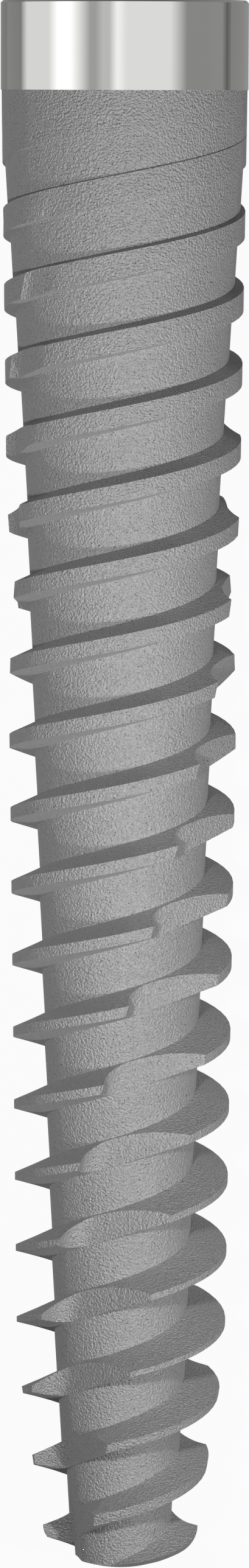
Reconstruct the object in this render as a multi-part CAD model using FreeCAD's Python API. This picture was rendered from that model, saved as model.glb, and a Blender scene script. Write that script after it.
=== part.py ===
import FreeCAD, Part
import math
import os

# Long screw-shaped dental implant, turned and thread-milled from one titanium bar.
# Millimetres. The piece is built standing on its tip, Z along its axis, and is
# turned at the end to the way it lies at rest.

# Overall sizes
TOTAL_LENGTH = 25.76
COLLAR_DIAMETER = 4.0
COLLAR_HEIGHT = 1.43
COLLAR_RIM_BEVEL = 0.04
COLLAR_STEP = 0.015

# Outer envelope that the thread crests reach
BODY_TAPER_DEG = 0.735
TIP_TAPER_HEIGHT = 3.53
TIP_TAPER_DEG = 8.56
TIP_DOME_HEIGHT = 0.65
TIP_EDGE_RADIUS = 0.42

# Core left between the threads, its taper changing twice on the way down
CORE_START_BELOW_COLLAR = 0.43
CORE_UPPER_TAPER_DEG = 4.08
CORE_KNEE_HEIGHT = 18.81
CORE_MIDDLE_TAPER_DEG = 1.99
CORE_TIP_HEIGHT = 3.23
CORE_TIP_TAPER_DEG = 6.26

# Thread: right-handed grooves milled with one constant form, deeper and deeper
THREAD_STARTS = 2
CREST_SPACING = 1.2
CREST_PHASE_HEIGHT = 0.56
GROOVE_FLOOR_WIDTH = 0.72
GROOVE_FLOOR_TILT_DEG = 3.4
GROOVE_FLOOR_RAISE = 0.03
GROOVE_START_BELOW_CREST_DEG = 216.0
GROOVE_END_BELOW_COLLAR = 0.02
CORONAL_FLANK_DEG = 21.8
APICAL_FLANK_DEG = 12.4

# Cutting flutes: steep right-handed channels, flat floor and one rounded wall
FLUTE_COUNT = 2
FLUTE_LEAD = 36.4
FLUTE_TIP_ANGLE_DEG = -80.5
FLUTE_WALL_RADIUS = 0.35
FLUTE_START_HEIGHT = 23.11
FLUTE_FULL_HEIGHT = 9.86
FLUTE_FLOOR_ABOVE_CORE = 0.012

# Inside connection for the abutment
PLATFORM_INNER_DIAMETER = 3.4
LEAD_IN_ANGLE_DEG = 45.0
HEX_ACROSS_FLATS = 2.42
HEX_DEPTH = 2.0
SCREW_HOLE_DIAMETER = 1.6
SCREW_HOLE_DEPTH = 6.8
DRILL_POINT_DEG = 118.0
HEX_FLOOR_CONE_DEG = 60.0

# The crest, counted up the back, that touches the ground with the collar's edge
REST_CREST_HEIGHT = 9.56

# How finely the helices are drawn
POINTS_PER_TURN = 12
PIECES_PER_TURN = 2
CUTTER_OVERREACH = 0.2

LEAD = THREAD_STARTS * CREST_SPACING
COLLAR_RADIUS = COLLAR_DIAMETER / 2.0
COLLAR_BOTTOM = TOTAL_LENGTH - COLLAR_HEIGHT
BODY_TOP_RADIUS = COLLAR_RADIUS - COLLAR_STEP
CORE_START_HEIGHT = COLLAR_BOTTOM - CORE_START_BELOW_COLLAR
PLATFORM_INNER_RADIUS = PLATFORM_INNER_DIAMETER / 2.0
SCREW_HOLE_RADIUS = SCREW_HOLE_DIAMETER / 2.0


def slope(degrees):
    return math.tan(math.radians(degrees))


def envelope_radius(z):
    """Radius of the crests at height z, without the collar."""
    on_body = BODY_TOP_RADIUS - slope(BODY_TAPER_DEG) * (COLLAR_BOTTOM - z)
    at_tip_top = BODY_TOP_RADIUS - slope(BODY_TAPER_DEG) * (COLLAR_BOTTOM - TIP_TAPER_HEIGHT)
    on_tip = at_tip_top - slope(TIP_TAPER_DEG) * (TIP_TAPER_HEIGHT - z)
    return min(on_body, on_tip)


def core_radius(z):
    """Radius of the core at height z, reckoned at the upper edge of the groove floor."""
    start = envelope_radius(CORE_START_HEIGHT)
    knee = start - slope(CORE_UPPER_TAPER_DEG) * (CORE_START_HEIGHT - CORE_KNEE_HEIGHT)
    tip_top = knee - slope(CORE_MIDDLE_TAPER_DEG) * (CORE_KNEE_HEIGHT - CORE_TIP_HEIGHT)
    if z >= CORE_KNEE_HEIGHT:
        return start - slope(CORE_UPPER_TAPER_DEG) * (CORE_START_HEIGHT - z)
    if z >= CORE_TIP_HEIGHT:
        return knee - slope(CORE_MIDDLE_TAPER_DEG) * (CORE_KNEE_HEIGHT - z)
    return tip_top - slope(CORE_TIP_TAPER_DEG) * (CORE_TIP_HEIGHT - z)


def point_at(radius, angle_deg, z):
    """Point at an angle counted from the front, -Y, towards +X."""
    angle = math.radians(angle_deg)
    return FreeCAD.Vector(radius * math.sin(angle), -radius * math.cos(angle), z)


def flat_face(points):
    return Part.Face(Part.makePolygon(points + [points[0]]))


def solid_from(faces):
    shell = Part.Shell(faces)
    shell.sewShape()
    solid = Part.Solid(shell)
    if solid.Volume < 0:
        solid.reverse()
    return solid


def tip_dome():
    """Outline of the domed tip: a wide arc from the axis, then a narrow one up to the side."""
    side = envelope_radius(TIP_DOME_HEIGHT)
    wide = (side ** 2 + TIP_DOME_HEIGHT ** 2 - 2.0 * side * TIP_EDGE_RADIUS)
    wide = wide / (2.0 * (TIP_DOME_HEIGHT - TIP_EDGE_RADIUS))
    joint = math.atan2(side - TIP_EDGE_RADIUS, wide - TIP_DOME_HEIGHT)

    def on_arc(radius, centre_r, centre_z, angle):
        r = centre_r + radius * math.sin(angle)
        return FreeCAD.Vector(r, 0.0, centre_z - radius * math.cos(angle))

    wide_arc = [on_arc(wide, 0.0, wide, angle) for angle in (0.0, joint / 2.0, joint)]
    edge_arc = []
    for angle in (joint, (joint + math.pi / 2.0) / 2.0, math.pi / 2.0):
        edge_arc.append(on_arc(TIP_EDGE_RADIUS, side - TIP_EDGE_RADIUS, TIP_DOME_HEIGHT, angle))
    return [Part.Arc(*wide_arc).toShape(), Part.Arc(*edge_arc).toShape()]


def make_blank():
    """The turned bar: collar, tapered body and domed tip."""
    tip_top_radius = envelope_radius(TIP_TAPER_HEIGHT)
    outline = [
        (envelope_radius(TIP_DOME_HEIGHT), TIP_DOME_HEIGHT),
        (tip_top_radius, TIP_TAPER_HEIGHT),
        (BODY_TOP_RADIUS, COLLAR_BOTTOM),
        (COLLAR_RADIUS, COLLAR_BOTTOM),
        (COLLAR_RADIUS, TOTAL_LENGTH - COLLAR_RIM_BEVEL),
        (COLLAR_RADIUS - COLLAR_RIM_BEVEL, TOTAL_LENGTH),
        (0.0, TOTAL_LENGTH),
        (0.0, 0.0),
    ]
    points = [FreeCAD.Vector(r, 0.0, z) for r, z in outline]
    edges = tip_dome()
    for start, end in zip(points[:-1], points[1:]):
        edges.append(Part.makeLine(start, end))
    face = Part.Face(Part.Wire(Part.sortEdges(edges)[0]))
    return face.revolve(FreeCAD.Vector(0, 0, 0), FreeCAD.Vector(0, 0, 1), 360)


def groove_corners(angle_deg):
    """The four corners of the groove cutter's form where it passes an angle.

    The angle runs on past a full turn, and the height follows from it.
    """
    crest_z = CREST_PHASE_HEIGHT + LEAD * (angle_deg + 90.0) / 360.0
    floor_top_z = crest_z - (CREST_SPACING - GROOVE_FLOOR_WIDTH) / 2.0 + GROOVE_FLOOR_RAISE
    floor_bottom_z = floor_top_z - GROOVE_FLOOR_WIDTH
    top_radius = core_radius(floor_top_z)
    bottom_radius = top_radius - GROOVE_FLOOR_WIDTH * slope(GROOVE_FLOOR_TILT_DEG)
    outer = max(envelope_radius(crest_z), top_radius) + CUTTER_OVERREACH
    outer_top_z = floor_top_z + (outer - top_radius) * slope(APICAL_FLANK_DEG)
    outer_bottom_z = floor_bottom_z - (outer - bottom_radius) * slope(CORONAL_FLANK_DEG)
    return [
        (top_radius, floor_top_z),
        (bottom_radius, floor_bottom_z),
        (outer, outer_bottom_z),
        (outer, outer_top_z),
    ]


def make_groove(start_index):
    """Cutter for one of the thread grooves, tip to collar."""
    turn_shift = 360.0 * start_index / THREAD_STARTS
    first = -GROOVE_START_BELOW_CREST_DEG - turn_shift
    top_limit = COLLAR_BOTTOM - GROOVE_END_BELOW_COLLAR
    last = (top_limit + (CREST_SPACING - GROOVE_FLOOR_WIDTH) / 2.0 - CREST_PHASE_HEIGHT)
    last = last * 360.0 / LEAD - 90.0
    step = 360.0 / POINTS_PER_TURN
    count = int(math.floor((last - first) / step))
    angles = [last - step * (count - i) for i in range(count + 1)]
    rails = []
    for corner in range(4):
        points = []
        for angle in angles:
            radius, z = groove_corners(angle)[corner]
            points.append(point_at(radius, angle + turn_shift, z))
        curve = Part.BSplineCurve()
        curve.interpolate(Points=points, Parameters=[float(a) for a in angles])
        rails.append(curve)
    per_piece = POINTS_PER_TURN // PIECES_PER_TURN
    cuts = list(range(count, 0, -per_piece))
    cuts.append(0)
    cuts.reverse()
    faces = []
    for low, high in zip(cuts[:-1], cuts[1:]):
        if high == low:
            continue
        edges = []
        for curve in rails:
            piece = curve.copy()
            piece.segment(angles[low], angles[high])
            edges.append(piece.toShape())
        for corner in range(4):
            faces.append(Part.makeRuledSurface(edges[corner], edges[(corner + 1) % 4], 1))
    for index in (0, count):
        ring = []
        for corner in range(4):
            radius, z = groove_corners(angles[index])[corner]
            ring.append(point_at(radius, angles[index] + turn_shift, z))
        faces.append(flat_face(ring))
    return solid_from(faces)


def flute_floor_radius(z):
    """Distance of the flute floor from the axis: from flush down to just over the core."""
    full = core_radius(FLUTE_FULL_HEIGHT) + FLUTE_FLOOR_ABOVE_CORE
    if z <= FLUTE_FULL_HEIGHT:
        return core_radius(z) + FLUTE_FLOOR_ABOVE_CORE
    start = envelope_radius(FLUTE_START_HEIGHT)
    share = (z - FLUTE_FULL_HEIGHT) / (FLUTE_START_HEIGHT - FLUTE_FULL_HEIGHT)
    return full + share * (start - full)


def flute_section(z, flute_angle):
    """Closed outline of the flute cutter at one height."""
    turn = FLUTE_TIP_ANGLE_DEG + flute_angle + 360.0 * z / FLUTE_LEAD
    floor = flute_floor_radius(z)
    outside = COLLAR_RADIUS + 2.0 * CUTTER_OVERREACH
    wall = FLUTE_WALL_RADIUS
    half = wall * math.sqrt(0.5)

    def place(across, out):
        angle = math.radians(turn)
        x = out * math.sin(angle) + across * math.cos(angle)
        y = -out * math.cos(angle) + across * math.sin(angle)
        return FreeCAD.Vector(x, y, z)

    a = place(-wall, outside + wall)
    b = place(-wall, floor + wall)
    c = place(-half, floor + wall - half)
    d = place(0.0, floor)
    e = place(outside, floor)
    f = place(outside, outside + wall)
    edges = [
        Part.makeLine(a, b),
        Part.Arc(b, c, d).toShape(),
        Part.makeLine(d, e),
        Part.makeLine(e, f),
        Part.makeLine(f, a),
    ]
    return Part.Wire(edges)


def make_flute(index):
    flute_angle = 360.0 * index / FLUTE_COUNT
    bottom = -CREST_SPACING
    top = FLUTE_START_HEIGHT + CREST_SPACING / 2.0
    count = int(round((top - bottom) / LEAD))
    sections = []
    for step in range(count + 1):
        z = bottom + (top - bottom) * step / count
        sections.append(flute_section(z, flute_angle))
    return Part.makeLoft(sections, True, False)


def make_connection():
    """Everything cut into the collar end: bevel, hex socket and screw hole."""
    hex_corner = HEX_ACROSS_FLATS / 2.0 / math.cos(math.radians(30.0))
    bevel_depth = (PLATFORM_INNER_RADIUS - hex_corner) / slope(LEAD_IN_ANGLE_DEG)
    top = TOTAL_LENGTH
    bevel_bottom = top - bevel_depth
    hex_bottom = bevel_bottom - HEX_DEPTH
    cone = Part.makeCone(hex_corner, PLATFORM_INNER_RADIUS, bevel_depth,
                         FreeCAD.Vector(0, 0, bevel_bottom))
    points = []
    for corner in range(6):
        points.append(point_at(hex_corner, 60.0 * corner + 30.0, hex_bottom))
    prism = flat_face(points).extrude(FreeCAD.Vector(0, 0, HEX_DEPTH))
    inscribed = HEX_ACROSS_FLATS / 2.0
    funnel_depth = (inscribed - SCREW_HOLE_RADIUS) / slope(HEX_FLOOR_CONE_DEG)
    funnel = Part.makeCone(SCREW_HOLE_RADIUS, inscribed, funnel_depth,
                           FreeCAD.Vector(0, 0, hex_bottom - funnel_depth))
    hole_bottom = top - SCREW_HOLE_DEPTH
    hole = Part.makeCylinder(SCREW_HOLE_RADIUS, hex_bottom - hole_bottom,
                             FreeCAD.Vector(0, 0, hole_bottom))
    point_depth = SCREW_HOLE_RADIUS / slope(DRILL_POINT_DEG / 2.0)
    drill_point = Part.makeCone(0.0, SCREW_HOLE_RADIUS, point_depth,
                                FreeCAD.Vector(0, 0, hole_bottom - point_depth))
    return cone.fuse([prism, funnel, hole, drill_point])


def laid_down(body):
    """Turn the standing piece to its rest: collar edge and a crest touch z = 0, front up."""
    rise = COLLAR_RADIUS - envelope_radius(REST_CREST_HEIGHT)
    tilt = math.atan(rise / (COLLAR_BOTTOM - REST_CREST_HEIGHT))
    turn = FreeCAD.Rotation(FreeCAD.Vector(1, 0, 0), math.degrees(tilt) - 90.0)
    lowest = turn.multVec(FreeCAD.Vector(0, COLLAR_RADIUS, COLLAR_BOTTOM))
    rim = FreeCAD.Vector(0, COLLAR_RADIUS - COLLAR_RIM_BEVEL, TOTAL_LENGTH)
    collar_end = turn.multVec(rim)
    shift = FreeCAD.Vector(0, -collar_end.y / 2.0, -lowest.z)
    placed = body.copy()
    placed.Placement = FreeCAD.Placement(shift, turn)
    return placed


def build():
    body = make_blank()
    for start in range(THREAD_STARTS):
        body = body.cut(make_groove(start))
    for index in range(FLUTE_COUNT):
        body = body.cut(make_flute(index))
    body = body.cut(make_connection())
    return laid_down(body.Solids[0])


if __name__ == "__main__":
    os.makedirs("parts", exist_ok=True)
    piece = build()
    piece.exportStep("parts/implant_body.step")
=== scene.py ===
"""Looks of a screw-shaped dental implant: one turned and milled piece of titanium.

Metres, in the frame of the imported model. The implant lies on the table with its
collar towards +Y, and the camera looks down on it.
"""

import math

import bpy
from mathutils import Matrix, Vector


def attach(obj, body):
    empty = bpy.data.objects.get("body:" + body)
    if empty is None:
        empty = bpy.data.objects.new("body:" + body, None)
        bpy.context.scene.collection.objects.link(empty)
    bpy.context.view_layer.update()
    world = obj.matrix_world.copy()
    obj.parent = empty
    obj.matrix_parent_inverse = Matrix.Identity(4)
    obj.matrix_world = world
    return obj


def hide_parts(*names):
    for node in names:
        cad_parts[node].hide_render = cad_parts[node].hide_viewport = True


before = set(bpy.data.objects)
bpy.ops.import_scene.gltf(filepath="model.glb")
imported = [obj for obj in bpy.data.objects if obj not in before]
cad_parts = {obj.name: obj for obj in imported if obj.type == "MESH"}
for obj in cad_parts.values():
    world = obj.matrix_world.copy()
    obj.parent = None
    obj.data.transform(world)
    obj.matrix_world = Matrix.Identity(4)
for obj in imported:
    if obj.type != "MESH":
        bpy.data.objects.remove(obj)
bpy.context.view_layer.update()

MM = 0.001

# The implant's axis as the CAD lays it down; heights are along it, from the tip
TIP = Vector((0.0, -12.8923, 1.6630)) * MM
AXIS = Vector((0.0, 0.999904, 0.013843)).normalized()

# Corners of the CAD's loose triangles that lie nearer than this become one
MERGE_DISTANCE = 0.0002 * MM

# Thread of the screw hole in the head, M2 with a 0.4 mm pitch
THREAD_PITCH = 0.4 * MM
THREAD_ROOT_RADIUS = 1.0 * MM
THREAD_CREST_RADIUS = 0.8 * MM
THREAD_BOTTOM = 19.26 * MM
THREAD_TURNS = 8
THREAD_STEPS_PER_TURN = 40

# The tap's form: the widths of its foot and flat tip, and how far the foot stands in the hole
TAP_FOOT = 0.3464 * MM
TAP_FLAT = 0.05 * MM
TAP_OVERLAP = 0.03 * MM

# Where the finish changes: at the collar's lower edge, and inside the head
COLLAR_BOTTOM = 24.33 * MM
JUST_BELOW_HOLE = 18.0 * MM
LEAD_IN_RADIUS = 1.7 * MM
FACE_MARGIN = 0.05 * MM

# Faces that meet at a smaller angle than this are shaded as one smooth surface
SMOOTH_BELOW_DEG = 28.0

# Which of the implant's material slots holds which finish
BLASTED, POLISHED, MACHINED = range(3)

# Blasted and etched metal: dents as wide as real ones, and deeper, so that they show. The
# acid's real pits are only a few micrometres wide, so they are drawn coarser, as dark specks of
# painted shade. Where a pit's painted shade is darkest, and where it ends, are shares of the pits'
# spacing.
DENT_WIDTH = 0.036 * MM
DENT_DEPTH = 0.045 * MM
PIT_SPACING = 0.07 * MM
PIT_CORE = 0.07
PIT_EDGE = 0.16

# The photograph's camera, worked out from the implant's outline
IMAGE_HEIGHT_PX = 2576.0
FOCAL_PX = 9835.0
SENSOR_WIDTH = 36.0
CAMERA_PLACE = Vector((0.0, 10.10, 99.35)) * MM
CAMERA_TILT_DEG = -6.31
CAMERA_ROLL_DEG = 0.17
SHIFT_X = 0.0014
SHIFT_Y = 0.0326
NEAREST_SEEN = 1.0 * MM
FARTHEST_SEEN = 10.0

# The floor, and plain white's share in the background, seen straight and mirrored in metal
FLOOR_SIZE = 3.0
WHITE = (1.0, 1.0, 1.0, 1.0)
WHITE_SHARE_SEEN = 0.95
WHITE_SHARE_MIRRORED = 0.14

# The two key lamps, each with its place, the side of its square and its power in watts, and
# the point in the middle of the implant that both face
KEY_LAMPS = [
    ("key_low_right", Vector((21.8, -9.5, 33.1)) * MM, 2.5 * MM, 0.0131),
    ("key_high", Vector((-5.3, 0.3, 29.0)) * MM, 1.8 * MM, 0.0076),
]
LIT_POINT = Vector((0.0, 0.0, 2.0)) * MM

# The glowing cards that stand on the floor on each side of the collar, their painted light dimmer
# towards their foot
LOW_CARD_PLACE = Vector((9.4, 13.0, 1.8)) * MM
LOW_CARD_HEIGHT = 3.6 * MM
LOW_CARD_LENGTH = 8.0 * MM
LOW_CARD_FADE = 1.5 * MM
CARD_FOOT_SHARE = 0.35
LEFT_CARD_BRIGHTNESS = 1.15
RIGHT_CARD_BRIGHTNESS = 0.43

# The studio's bands of light in a ring round the implant: where each one starts and ends, in
# degrees from straight above towards +X, and how bright it is. Between two bands the light
# changes evenly from one to the other.
STUDIO_BANDS = [
    ("wall_on_the_left", -90.0, -75.0, 1.15),
    ("softbox_on_the_left", -64.0, -52.0, 1.85),
    ("gap", -32.0, -27.0, 0.58),
    ("edge_of_the_strip", -20.0, -14.0, 0.84),
    ("strip_overhead", -7.0, -5.0, 1.50),
    ("softbox_overhead", 2.0, 43.0, 1.23),
    ("dark_wall_on_the_right", 60.0, 90.0, 0.42),
]
RING_FULL_BRIGHTNESS = 2.0

# Share of a direction that runs along the implant, where the ring starts to fade and ends
RING_CORE = 0.05
RING_EDGE = 0.09

# What takes the place of the ring's full brightness in the rest of the room: for the light on
# the implant, and for the mirror image of the room in the polished collar
ROOM_BRIGHTNESS = 0.04
MIRRORED_ROOM_BRIGHTNESS = 1.2


def linear(hex_colour):
    """sRGB hex, such as "#A0A0A0", as linear red, green, blue and alpha."""
    values = [int(hex_colour[i:i + 2], 16) / 255.0 for i in (1, 3, 5)]
    parts = [v / 12.92 if v <= 0.04045 else ((v + 0.055) / 1.055) ** 2.4 for v in values]
    return (*parts, 1.0)


def add_node(owner, kind, settings=None, inputs=None, links=None):
    """One node of a material or world, with its settings, socket values and incoming links."""
    node = owner.node_tree.nodes.new(kind)
    for name, value in (settings or {}).items():
        setattr(node, name, value)
    for socket, value in (inputs or {}).items():
        node.inputs[socket].default_value = value
    for socket, source in (links or {}).items():
        owner.node_tree.links.new(source, node.inputs[socket])
    return node


def new_material(name):
    """A material with no nodes yet."""
    material = bpy.data.materials.new(name)
    material.use_nodes = True
    material.node_tree.nodes.clear()
    return material


def finish_material(material, shader):
    """The material, with a shader node as its surface."""
    add_node(material, "ShaderNodeOutputMaterial", links={"Surface": shader.outputs[0]})
    return material


def blasted_titanium():
    """Titanium, grit-blasted and acid-etched.

    The grit leaves dents that scatter the light, so the metal looks matte grey with a fine
    even grain, and the acid leaves small pits, drawn as dark specks of painted shade.
    """
    material = new_material("blasted_etched_titanium")
    place = add_node(material, "ShaderNodeTexCoord").outputs["Object"]
    dents = add_node(material, "ShaderNodeTexNoise",
                     inputs={"Scale": 1.0 / DENT_WIDTH, "Detail": 2.0, "Roughness": 0.5},
                     links={"Vector": place})
    pits = add_node(material, "ShaderNodeTexVoronoi",
                    inputs={"Scale": 1.0 / PIT_SPACING, "Randomness": 1.0},
                    links={"Vector": place})
    # Painted shade: each pit is darkest in its middle, where shade falls inside it
    pit_painted_shade = add_node(material, "ShaderNodeMapRange",
                         inputs={"From Min": PIT_CORE, "From Max": PIT_EDGE,
                                 "To Min": 1.0, "To Max": 0.0},
                         links={"Value": pits.outputs["Distance"]})
    # Painted shade: the dark grey is the shade inside the pits, mixed into the metal's grey
    # A Mix node's two colours are its sockets 6 and 7, and the mixed colour is its output 2
    colour = add_node(material, "ShaderNodeMix", {"data_type": "RGBA"},
                      inputs={6: linear("#A2A2A2"), 7: linear("#303030")},
                      links={"Factor": pit_painted_shade.outputs["Result"]})
    dented = add_node(material, "ShaderNodeBump",
                      inputs={"Strength": 1.0, "Distance": DENT_DEPTH},
                      links={"Height": dents.outputs["Fac"]})
    shader = add_node(material, "ShaderNodeBsdfPrincipled",
                      inputs={"Metallic": 1.0, "Roughness": 0.75},
                      links={"Base Color": colour.outputs[2], "Normal": dented.outputs["Normal"]})
    return finish_material(material, shader)


def polished_titanium():
    """Titanium, turned and polished: a mirror with no mark left by the lathe."""
    material = new_material("polished_titanium")
    shader = add_node(material, "ShaderNodeBsdfPrincipled",
                      inputs={"Base Color": linear("#C6C6C4"), "Metallic": 1.0,
                              "Roughness": 0.0})
    return finish_material(material, shader)


def machined_titanium():
    """Titanium as the drill, the tap and the broach leave it: bright, with blurred reflections."""
    material = new_material("machined_titanium")
    shader = add_node(material, "ShaderNodeBsdfPrincipled",
                      inputs={"Base Color": linear("#B4B4B2"), "Metallic": 1.0,
                              "Roughness": 0.28})
    return finish_material(material, shader)


def pale_floor():
    """Grey card that the camera sees as nearly white, and the metal as only a little paler.

    Grey card throws little light onto the implant, as in the photograph, and its share in
    what the camera sees keeps the implant's soft shadow.
    """
    material = new_material("background_card")
    rays = add_node(material, "ShaderNodeLightPath").outputs
    seen = add_node(material, "ShaderNodeMath", {"operation": "MAXIMUM"},
                    links={0: rays["Is Camera Ray"], 1: rays["Is Transmission Ray"]})
    seen_white = add_node(material, "ShaderNodeMath", {"operation": "MULTIPLY"},
                          inputs={1: WHITE_SHARE_SEEN}, links={0: seen.outputs[0]})
    mirrored_white = add_node(material, "ShaderNodeMath", {"operation": "MULTIPLY"},
                              inputs={1: WHITE_SHARE_MIRRORED},
                              links={0: rays["Is Glossy Ray"]})
    white_share = add_node(material, "ShaderNodeMath", {"operation": "ADD"},
                           links={0: seen_white.outputs[0], 1: mirrored_white.outputs[0]})
    card = add_node(material, "ShaderNodeBsdfPrincipled",
                    inputs={"Base Color": linear("#808080"), "Roughness": 0.9,
                            "Specular IOR Level": 0.2})
    white = add_node(material, "ShaderNodeEmission", inputs={"Color": WHITE, "Strength": 1.0})
    shader = add_node(material, "ShaderNodeMixShader",
                      links={0: white_share.outputs[0], 1: card.outputs[0],
                             2: white.outputs[0]})
    return finish_material(material, shader)


def painted_glow_card(name, brightness):
    """Card that glows white as if under a lamp of its own: painted light that fades towards the
    card's foot.
    """
    material = new_material(name)
    place = add_node(material, "ShaderNodeTexCoord").outputs["Object"]
    height = add_node(material, "ShaderNodeSeparateXYZ", links={0: place}).outputs["Z"]
    # Painted light: the card's glow is brightest at its top and fades towards its foot
    light = add_node(material, "ShaderNodeMapRange",
                     inputs={"From Min": 0.0, "From Max": LOW_CARD_FADE,
                             "To Min": CARD_FOOT_SHARE * brightness, "To Max": brightness},
                     links={"Value": height})
    shader = add_node(material, "ShaderNodeEmission", inputs={"Color": WHITE},
                      links={"Strength": light.outputs[0]})
    return finish_material(material, shader)


def deselect_all():
    bpy.ops.object.select_all(action="DESELECT")


def make_active(obj):
    """Selects one object alone, so that the next operators act on it."""
    deselect_all()
    obj.select_set(True)
    bpy.context.view_layer.objects.active = obj


def along_and_out(point):
    """Distance along the implant's axis from its tip, and distance out from the axis."""
    offset = point - TIP
    along = offset.dot(AXIS)
    return along, (offset - along * AXIS).length


def select_corners(mesh, chosen):
    """Selects, in object mode, only the corners of a mesh whose place passes a test."""
    for part in (*mesh.vertices, *mesh.edges, *mesh.polygons):
        part.select = False
    for corner in mesh.vertices:
        corner.select = chosen(corner.co)


def make_tap():
    """The tap's form that cuts the thread in the screw hole, laid along the implant's axis.

    An outline of four edges, narrow on the side away from the axis, is wound up into a
    helix and closed at both ends.
    """
    inner = THREAD_CREST_RADIUS - TAP_OVERLAP
    reach = THREAD_ROOT_RADIUS - inner
    middle = (inner + 0.5 * reach, 0.0, 0.0)
    deselect_all()
    bpy.ops.mesh.primitive_plane_add(size=1.0)
    tap = bpy.context.object
    mesh = tap.data
    bpy.ops.object.mode_set(mode="EDIT")
    bpy.ops.mesh.select_all(action="SELECT")
    bpy.ops.mesh.delete(type="ONLY_FACE")
    bpy.ops.mesh.select_all(action="SELECT")
    bpy.ops.transform.resize(value=(reach, TAP_FOOT, 1.0))
    bpy.ops.transform.rotate(value=math.radians(90.0), orient_axis="X")
    bpy.ops.transform.translate(value=middle)
    bpy.ops.object.mode_set(mode="OBJECT")
    select_corners(mesh, lambda place: place.x > middle[0])
    bpy.ops.object.mode_set(mode="EDIT")
    bpy.ops.transform.resize(value=(1.0, 1.0, TAP_FLAT / TAP_FOOT))
    bpy.ops.object.mode_set(mode="OBJECT")
    screw = tap.modifiers.new("screw", "SCREW")
    screw.axis = "Z"
    screw.angle = math.radians(360.0)
    screw.iterations = THREAD_TURNS
    screw.screw_offset = THREAD_PITCH
    screw.steps = THREAD_STEPS_PER_TURN
    screw.render_steps = THREAD_STEPS_PER_TURN
    screw.use_merge_vertices = False
    bpy.ops.object.modifier_apply(modifier=screw.name)
    bpy.ops.object.mode_set(mode="EDIT")
    bpy.ops.mesh.select_all(action="SELECT")
    bpy.ops.mesh.fill_holes(sides=4)
    bpy.ops.mesh.normals_make_consistent(inside=False)
    bpy.ops.object.mode_set(mode="OBJECT")
    turn = Vector((0, 0, 1)).rotation_difference(AXIS).to_matrix().to_4x4()
    mesh.transform(Matrix.Translation(TIP + AXIS * THREAD_BOTTOM) @ turn)
    return tap


def copy_cad_solid():
    """The CAD's solid in a mesh of its own, with the doubles of its loose triangles merged."""
    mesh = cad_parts["implant_body"].data.copy()
    implant = bpy.data.objects.new("titanium_implant", mesh)
    bpy.context.scene.collection.objects.link(implant)
    make_active(implant)
    bpy.ops.mesh.customdata_custom_splitnormals_clear()
    bpy.ops.object.mode_set(mode="EDIT")
    bpy.ops.mesh.select_all(action="SELECT")
    bpy.ops.mesh.remove_doubles(threshold=MERGE_DISTANCE)
    bpy.ops.object.mode_set(mode="OBJECT")
    return implant


def thread_hole(implant):
    """Cuts the tap's form out of the implant, which leaves a thread in its screw hole."""
    tap = make_tap()
    make_active(implant)
    cut = implant.modifiers.new("tapped", "BOOLEAN")
    cut.operation = "DIFFERENCE"
    cut.solver = "EXACT"
    cut.object = tap
    bpy.ops.object.modifier_apply(modifier=cut.name)
    bpy.data.objects.remove(tap)


def finish_of(face):
    """Polished on the collar, machined inside the head, and blasted on all the rest."""
    along, out = along_and_out(face.center)
    outward = face.normal.dot(face.center - TIP - along * AXIS) > 0.0
    if along > COLLAR_BOTTOM and (outward or out > LEAD_IN_RADIUS):
        return POLISHED
    if along > JUST_BELOW_HOLE and not outward and out < LEAD_IN_RADIUS + FACE_MARGIN:
        return MACHINED
    return BLASTED


def make_implant():
    """The CAD's own shape, with a thread in its screw hole and a finish on each face."""
    implant = copy_cad_solid()
    thread_hole(implant)
    mesh = implant.data
    mesh.materials.clear()
    for material in (blasted_titanium(), polished_titanium(), machined_titanium()):
        mesh.materials.append(material)
    for face in mesh.polygons:
        face.material_index = finish_of(face)
    bpy.ops.object.shade_smooth_by_angle(angle=math.radians(SMOOTH_BELOW_DEG))
    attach(implant, "root")
    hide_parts("implant_body")


def make_floor():
    deselect_all()
    bpy.ops.mesh.primitive_plane_add(size=FLOOR_SIZE, location=(0.0, 0.0, 0.0))
    floor = bpy.context.object
    floor.name = "floor"
    floor.data.materials.append(pale_floor())


def make_low_card(name, side, brightness):
    """A card whose mirror image is a stripe near one edge of the collar."""
    deselect_all()
    bpy.ops.mesh.primitive_plane_add(size=1.0)
    card = bpy.context.object
    card.name = name
    bpy.ops.object.mode_set(mode="EDIT")
    bpy.ops.transform.resize(value=(LOW_CARD_HEIGHT, LOW_CARD_LENGTH, 1.0))
    bpy.ops.transform.rotate(value=math.radians(90.0), orient_axis="Y")
    bpy.ops.transform.translate(value=(side * LOW_CARD_PLACE.x, *LOW_CARD_PLACE.yz))
    bpy.ops.object.mode_set(mode="OBJECT")
    card.data.materials.append(painted_glow_card(name, brightness))
    card.visible_camera = False
    card.visible_diffuse = False


def add_key_lamp(name, place, side, power):
    """A small square lamp that faces the middle of the implant and isn't seen itself."""
    light = bpy.data.lights.new(name, "AREA")
    light.shape = "SQUARE"
    light.size = side
    light.energy = power
    lamp = bpy.data.objects.new(name, light)
    bpy.context.scene.collection.objects.link(lamp)
    lamp.location = place
    lamp.rotation_mode = "QUATERNION"
    lamp.rotation_quaternion = (LIT_POINT - place).to_track_quat("-Z", "Y")
    lamp.visible_camera = False


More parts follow.
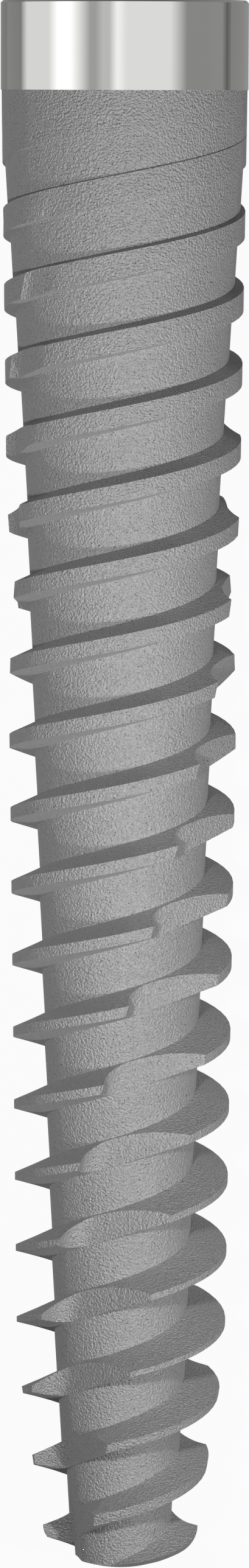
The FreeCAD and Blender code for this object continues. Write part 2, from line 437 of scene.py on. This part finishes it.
def band_colours(world, parts):
    """Greys that stand for the bands' brightness, by a direction's angle from straight above."""
    angle = add_node(world, "ShaderNodeMath", {"operation": "ARCTAN2"},
                     links={0: parts["X"], 1: parts["Z"]})
    turn_share = add_node(world, "ShaderNodeMapRange",
                          inputs={"From Min": -math.pi, "From Max": math.pi},
                          links={"Value": angle.outputs[0]})
    bands = add_node(world, "ShaderNodeValToRGB", links={0: turn_share.outputs[0]})
    ends = [(degrees, brightness) for _, start, end, brightness in STUDIO_BANDS
            for degrees in (start, end)]
    # The ramp starts with two stops. The others are added anywhere, and all get their places
    stops = bands.color_ramp.elements
    while len(stops) < len(ends):
        stops.new(0.5)
    for stop, (degrees, brightness) in zip(stops, ends):
        stop.position = (degrees + 180.0) / 360.0
        share = brightness / RING_FULL_BRIGHTNESS
        stop.color = (share, share, share, 1.0)
    return bands.outputs["Color"]


def make_studio():
    """The world: the ring of bands, the rest of the room, and a backdrop for the camera alone."""
    world = bpy.data.worlds.new("studio")
    world.use_nodes = True
    world.node_tree.nodes.clear()
    direction = add_node(world, "ShaderNodeTexCoord").outputs["Generated"]
    parts = add_node(world, "ShaderNodeSeparateXYZ", links={0: direction}).outputs
    rays = add_node(world, "ShaderNodeLightPath").outputs
    off_ring = add_node(world, "ShaderNodeMath", {"operation": "ABSOLUTE"},
                        links={0: parts["Y"]})
    # A ray that the polished collar mirrors counts as singular, and one off rough metal doesn't
    room = add_node(world, "ShaderNodeMapRange",
                    inputs={"To Min": ROOM_BRIGHTNESS, "To Max": MIRRORED_ROOM_BRIGHTNESS},
                    links={"Value": rays["Is Singular Ray"]})
    strength = add_node(world, "ShaderNodeMapRange", {"interpolation_type": "SMOOTHSTEP"},
                        inputs={"From Min": RING_CORE, "From Max": RING_EDGE,
                                "To Min": RING_FULL_BRIGHTNESS},
                        links={"Value": off_ring.outputs[0], "To Max": room.outputs[0]})
    studio = add_node(world, "ShaderNodeBackground",
                      links={"Color": band_colours(world, parts),
                             "Strength": strength.outputs[0]})
    backdrop = add_node(world, "ShaderNodeBackground",
                        inputs={"Color": WHITE, "Strength": WHITE_SHARE_SEEN})
    seen = add_node(world, "ShaderNodeMixShader",
                    links={0: rays["Is Camera Ray"], 1: studio.outputs[0],
                           2: backdrop.outputs[0]})
    add_node(world, "ShaderNodeOutputWorld", links={"Surface": seen.outputs[0]})
    bpy.context.scene.world = world


def set_camera():
    """The photograph's camera, which looks down and a little towards the tip."""
    data = bpy.data.cameras.new("camera")
    data.sensor_fit = "AUTO"
    data.sensor_width = SENSOR_WIDTH
    data.lens = data.sensor_width * FOCAL_PX / IMAGE_HEIGHT_PX
    data.shift_x = SHIFT_X
    data.shift_y = SHIFT_Y
    data.clip_start = NEAREST_SEEN
    data.clip_end = FARTHEST_SEEN
    camera = bpy.data.objects.new("camera", data)
    bpy.context.scene.collection.objects.link(camera)
    camera.location = CAMERA_PLACE
    tilt = Matrix.Rotation(math.radians(CAMERA_TILT_DEG), 3, "X")
    roll = Matrix.Rotation(math.radians(CAMERA_ROLL_DEG), 3, "Z")
    camera.rotation_euler = (tilt @ roll).to_euler()
    bpy.context.scene.camera = camera


make_implant()
make_floor()
make_low_card("left_card", -1, LEFT_CARD_BRIGHTNESS)
make_low_card("right_card", 1, RIGHT_CARD_BRIGHTNESS)
for key_name, key_place, key_side, key_power in KEY_LAMPS:
    add_key_lamp(key_name, key_place, key_side, key_power)
make_studio()
set_camera()
bpy.context.scene.view_settings.view_transform = "Standard"
